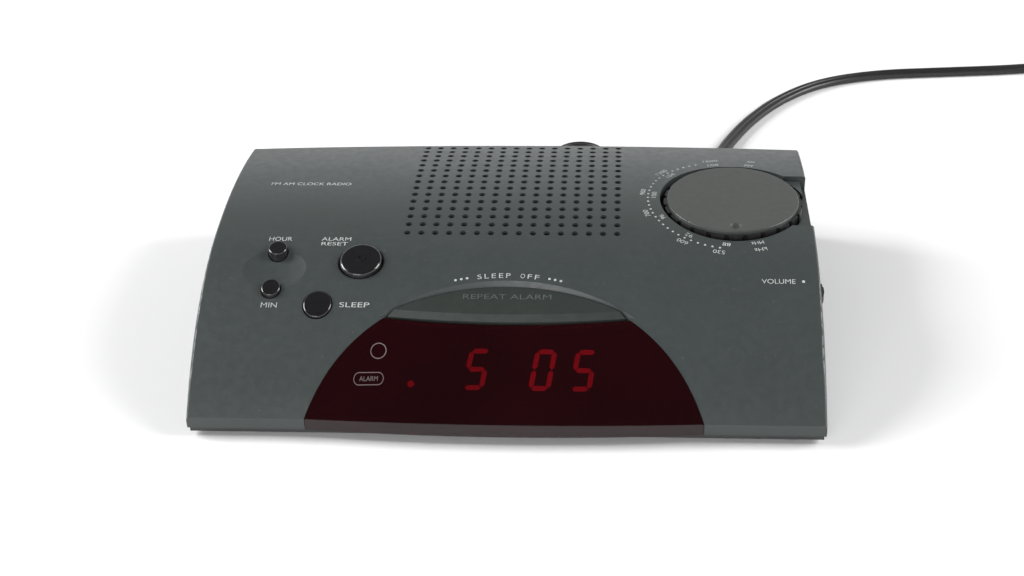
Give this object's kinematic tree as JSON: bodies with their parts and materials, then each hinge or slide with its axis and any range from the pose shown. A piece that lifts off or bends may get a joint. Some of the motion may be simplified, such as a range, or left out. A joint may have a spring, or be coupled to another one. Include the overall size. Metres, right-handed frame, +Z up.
{
  "type": "clock radio",
  "caption": "Low clock radio with a curved cover, red light-bar clock behind a smoked window, wide snooze bar, round keys, speaker grille, large tuning knob and mains lead.",
  "frame": {"origin": "on the surface it stands on, under the middle of the case, the cord left out", "axes": "+X along the case's width, towards the tuning knob's side; +Y from the front to the rear; +Z up"},
  "size_m": [0.3886, 0.2712, 0.038],
  "materials": {
    "case": "satin, fine grain",
    "base": "matt",
    "smoked_window": "gloss, scratched",
    "steel": "zinc plated",
    "rubber": "matt",
    "snap": "satin",
    "bar": "satin",
    "gloss_black": "gloss",
    "switch_case": "satin",
    "board": "phenolic board",
    "switch_metal": "plated",
    "display_case": "matt",
    "light_on": "lit",
    "light_off": "unlit",
    "chip": "matt",
    "capacitor": "sleeved",
    "cans": "plain",
    "capacitor_case": "clear amber",
    "knob_black": "satin",
    "knob_grey": "satin",
    "ferrite": "sintered",
    "copper": "enamelled",
    "paper": "pressed paper",
    "laminations": "varnished",
    "tape": "polyester tape",
    "flex_black": "satin",
    "brass": "plain",
    "tie": "paper-covered wire",
    "wire": "satin",
    "plunger": "satin"
  },
  "bodies": {
    "case": {"top_shell": "case", "bottom_shell": "base", "display_lens": "smoked_window", "case_screws": "steel", "board_screws": "steel", "rubber_feet": "rubber", "battery_snap": "snap", "switch_bodies": "switch_case", "key_board": "board", "side_board": "board", "slide_switches": "switch_metal", "led_display": "display_case", "display_board": "board", "display_bars_lit": "light_on", "display_bars_dark": "light_off", "alarm_led": "light_on", "clock_board": "board", "chips": "chip", "capacitors": "capacitor", "radio_board": "board", "coil_cans": "cans", "tuning_capacitor": "capacitor_case", "volume_pot": "switch_metal", "ferrite_rod": "ferrite", "antenna_coil": "copper", "speaker_frame": "steel", "speaker_magnet": "ferrite", "speaker_cone": "paper", "speaker_screws": "steel", "transformer_core": "laminations", "transformer_winding": "tape", "transformer_strap": "steel", "strain_relief": "flex_black", "mains_cord": "flex_black", "mains_coil": "flex_black", "mains_tail": "flex_black", "mains_plug": "flex_black", "plug_pins": "brass", "coil_tie": "tie", "antenna_wire": "wire", "antenna_wire_coil": "wire"},
    "knob": {"tuning_knob": "knob_black", "tuning_knob_cap": "knob_grey", "tuning_shaft": "steel"},
    "volume": {"volume_wheel": "knob_black"},
    "snooze": {"snooze_bar": "bar", "snooze_plunger": "plunger"},
    "hour_key": {"hour_button": "gloss_black", "hour_plunger": "plunger"},
    "minute_key": {"minute_button": "gloss_black", "minute_plunger": "plunger"},
    "alarm_reset_key": {"alarm_reset_button": "gloss_black", "alarm_reset_plunger": "plunger"},
    "sleep_key": {"sleep_button": "gloss_black", "sleep_plunger": "plunger"},
    "band_lever_body": {"band_lever": "gloss_black"},
    "function_lever_body": {"function_lever": "gloss_black"},
    "clock_set_lever_body": {"clock_set_lever": "gloss_black"},
    "door": {"battery_door": "base"}
  },
  "joints": [
    {"name": "tuning_turn", "type": "hinge", "parent": "case", "child": "knob", "pos_m": [0.0703, 0.0181, 0.035], "axis": [0, 0, -1], "range_deg": [0, 180]},
    {"name": "volume_turn", "type": "hinge", "parent": "case", "child": "volume", "pos_m": [0.0862, -0.0164, 0.0239], "axis": [0, 0, 1], "range_deg": [0, 270]},
    {"name": "snooze_press", "type": "slide", "parent": "case", "child": "snooze", "axis": [0, 0, -1], "range_m": [0, 0.0008], "stiffness_N_per_m": 900},
    {"name": "hour_press", "type": "slide", "parent": "case", "child": "hour_key", "axis": [0, 0, -1], "range_m": [0, 0.001], "stiffness_N_per_m": 700},
    {"name": "minute_press", "type": "slide", "parent": "case", "child": "minute_key", "axis": [0, 0, -1], "range_m": [0, 0.001], "stiffness_N_per_m": 700},
    {"name": "alarm_reset_press", "type": "slide", "parent": "case", "child": "alarm_reset_key", "axis": [0, 0, -1], "range_m": [0, 0.001], "stiffness_N_per_m": 800},
    {"name": "sleep_press", "type": "slide", "parent": "case", "child": "sleep_key", "axis": [0, 0, -1], "range_m": [0, 0.001], "stiffness_N_per_m": 700},
    {"name": "band_slide", "type": "slide", "parent": "case", "child": "band_lever_body", "axis": [0, 1, 0], "range_m": [-0.0025, 0.0025]},
    {"name": "function_slide", "type": "slide", "parent": "case", "child": "function_lever_body", "axis": [0, 1, 0], "range_m": [-0.0054, 0.0054]},
    {"name": "clock_set_slide", "type": "slide", "parent": "case", "child": "clock_set_lever_body", "axis": [0, 1, 0], "range_m": [-0.0025, 0.0025]},
    {"name": "battery_door_slide", "type": "slide", "parent": "case", "child": "door", "axis": [0, 1, 0], "range_m": [0, 0.03]}
  ]
}
